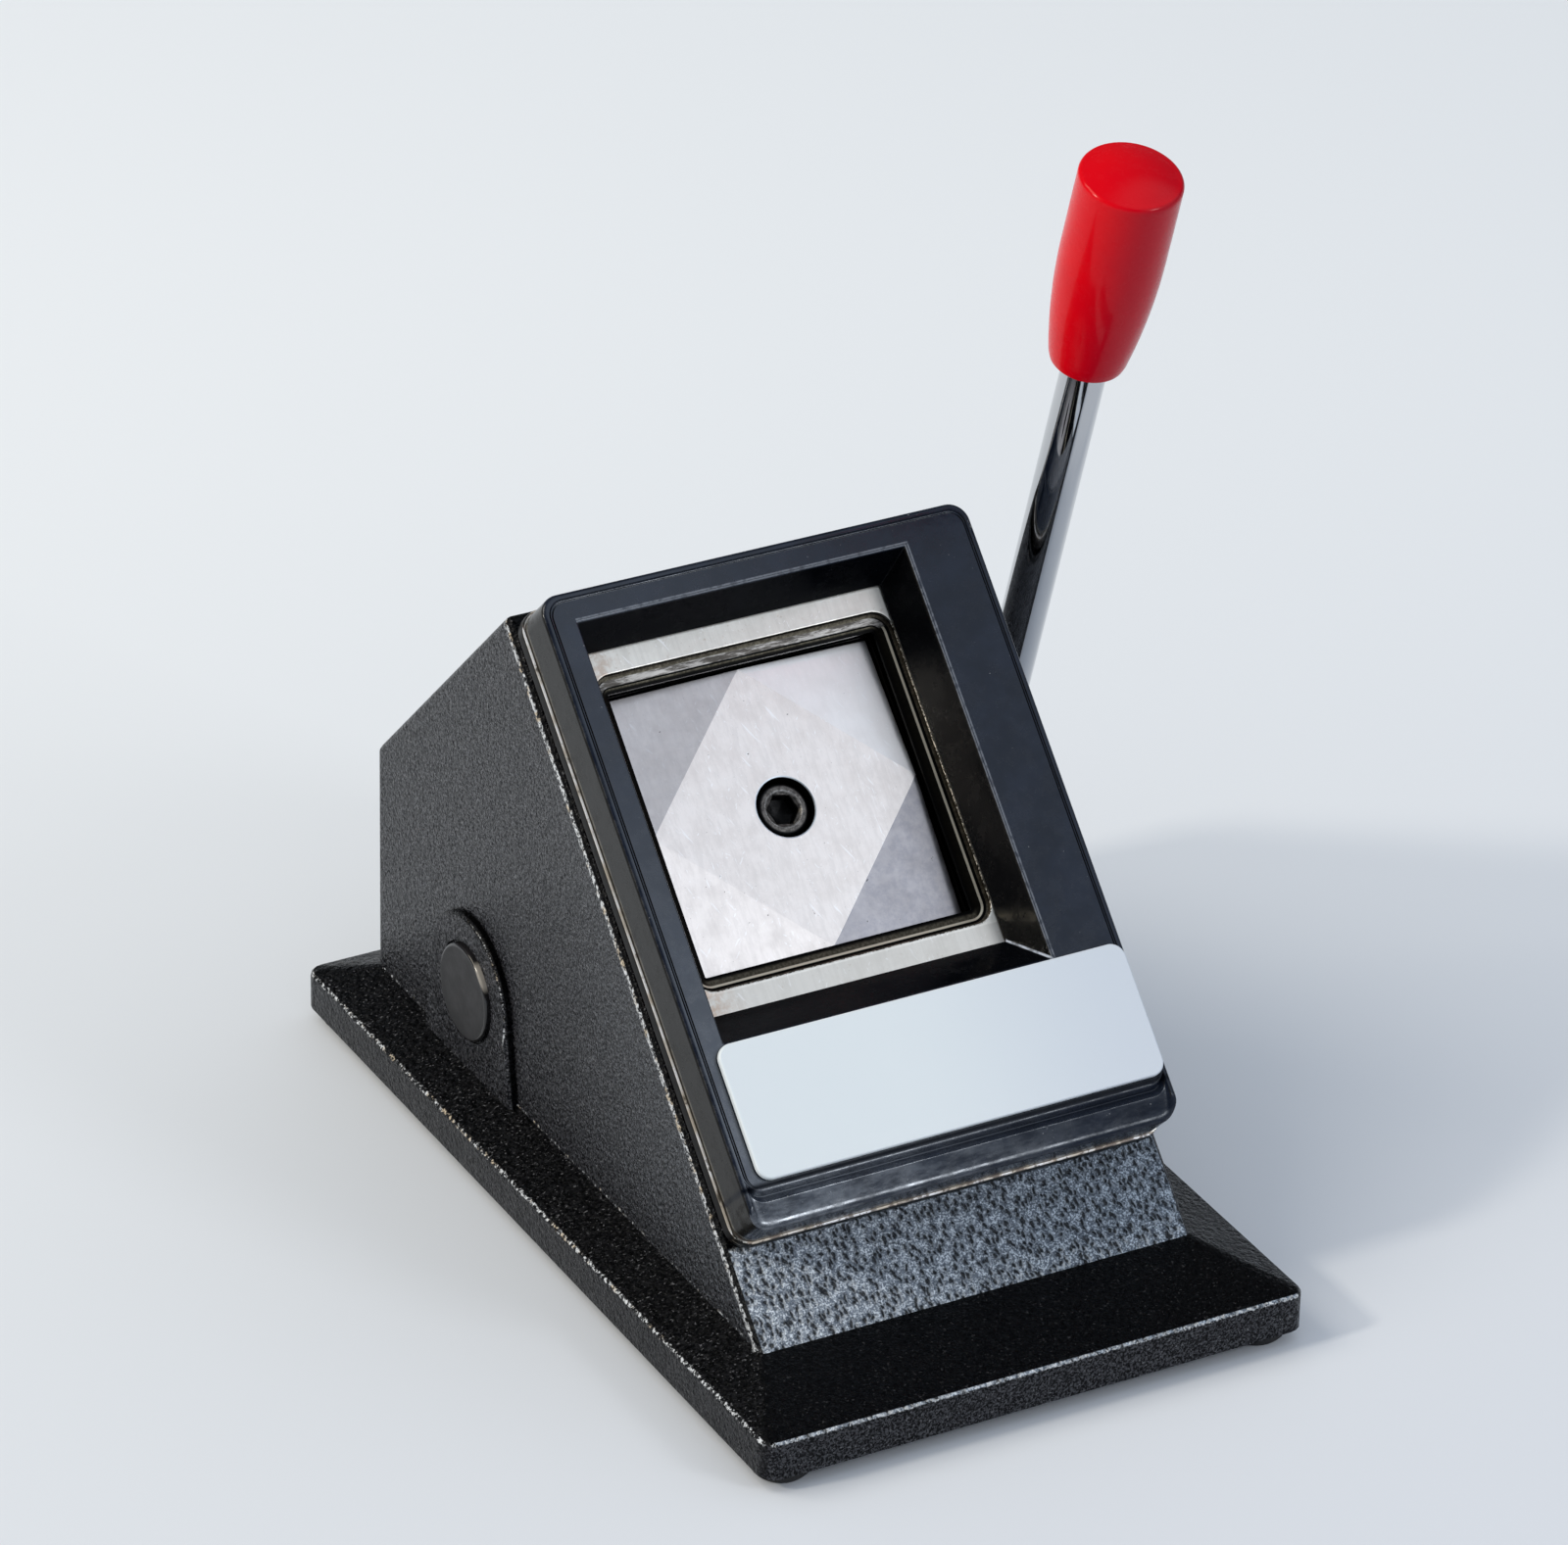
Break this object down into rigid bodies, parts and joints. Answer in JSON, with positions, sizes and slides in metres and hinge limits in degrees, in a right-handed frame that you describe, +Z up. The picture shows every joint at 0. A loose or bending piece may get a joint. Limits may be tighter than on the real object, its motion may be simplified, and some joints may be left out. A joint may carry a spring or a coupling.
{
  "type": "passport photo cutter",
  "caption": "Desk cutter for square passport photos: a side lever with a red grip drives a square punch up through a die in a sloping window frame on a cast housing.",
  "frame": {"origin": "centre of the bounding box in X and Y, on the surface the feet stand on", "axes": "+X to the lever's side, +Y to the back, +Z up"},
  "size_m": [0.1168, 0.173, 0.1849],
  "materials": {
    "casting_paint": "black crackle paint over cast iron, worn bright on its edges",
    "bezel_paint": "black satin paint",
    "label_plastic": "pale blue-white, satin",
    "red_gloss": "red gloss",
    "cap_plastic": "black satin",
    "chrome": "polished chrome",
    "ground_steel": "surface-ground tool steel",
    "bright_steel": "turned and zinc-plated steel",
    "black_oxide": "black oxide",
    "bronze": "sintered bronze",
    "foot_rubber": "black rubber"
  },
  "bodies": {
    "housing": {"body_casting": "casting_paint", "bottom_cover": "bright_steel", "cover_screw_lower_left": "black_oxide", "cover_screw_lower_right": "black_oxide", "cover_screw_upper_left": "black_oxide", "cover_screw_upper_right": "black_oxide", "foot_lower_left": "foot_rubber", "foot_lower_right": "foot_rubber", "foot_upper_left": "foot_rubber", "foot_upper_right": "foot_rubber", "guide_plate": "ground_steel", "guide_screw_lower_left": "black_oxide", "guide_screw_lower_right": "black_oxide", "guide_screw_upper_left": "black_oxide", "guide_screw_upper_right": "black_oxide", "spacer_lower": "bright_steel", "spacer_upper": "bright_steel", "die_plate": "ground_steel", "bezel": "bezel_paint", "bezel_screw_lower_left": "bright_steel", "bezel_screw_lower_right": "bright_steel", "bezel_screw_upper_left": "bright_steel", "bezel_screw_upper_right": "bright_steel", "label_plate": "label_plastic", "guide_bolt_lower": "black_oxide", "guide_bolt_upper": "black_oxide", "return_spring_lower": "bright_steel", "return_spring_upper": "bright_steel", "bush_left": "bronze", "bush_right": "bronze", "thrust_washer": "bright_steel", "end_cap": "cap_plastic"},
    "lever": {"cross_shaft": "bright_steel", "cam": "bright_steel", "cam_grub_screw": "black_oxide", "shaft_clip": "black_oxide", "lever_hub": "bright_steel", "hub_grub_screw": "black_oxide", "lever_rod": "chrome", "grip": "red_gloss"},
    "slider": {"punch": "ground_steel", "punch_screw": "black_oxide", "ram": "bright_steel", "ram_bush_lower": "bronze", "ram_bush_upper": "bronze"}
  },
  "joints": [
    {"name": "lever_swing", "type": "hinge", "parent": "housing", "child": "lever", "pos_m": [-0.0066, 0.0395, 0.027], "axis": [1, 0, 0], "range_deg": [0, 60]},
    {"name": "punch_slide", "type": "slide", "parent": "housing", "child": "slider", "axis": [0, -0.7071, 0.7071], "range_m": [0, 0.006], "stiffness_N_per_m": 2000, "springref_m": -0.01, "deforming": ["return_spring_lower", "return_spring_upper"]}
  ],
  "couplings": [
    {"joint": "punch_slide", "follows": "lever_swing", "m_per_rad": 0.005729}
  ]
}
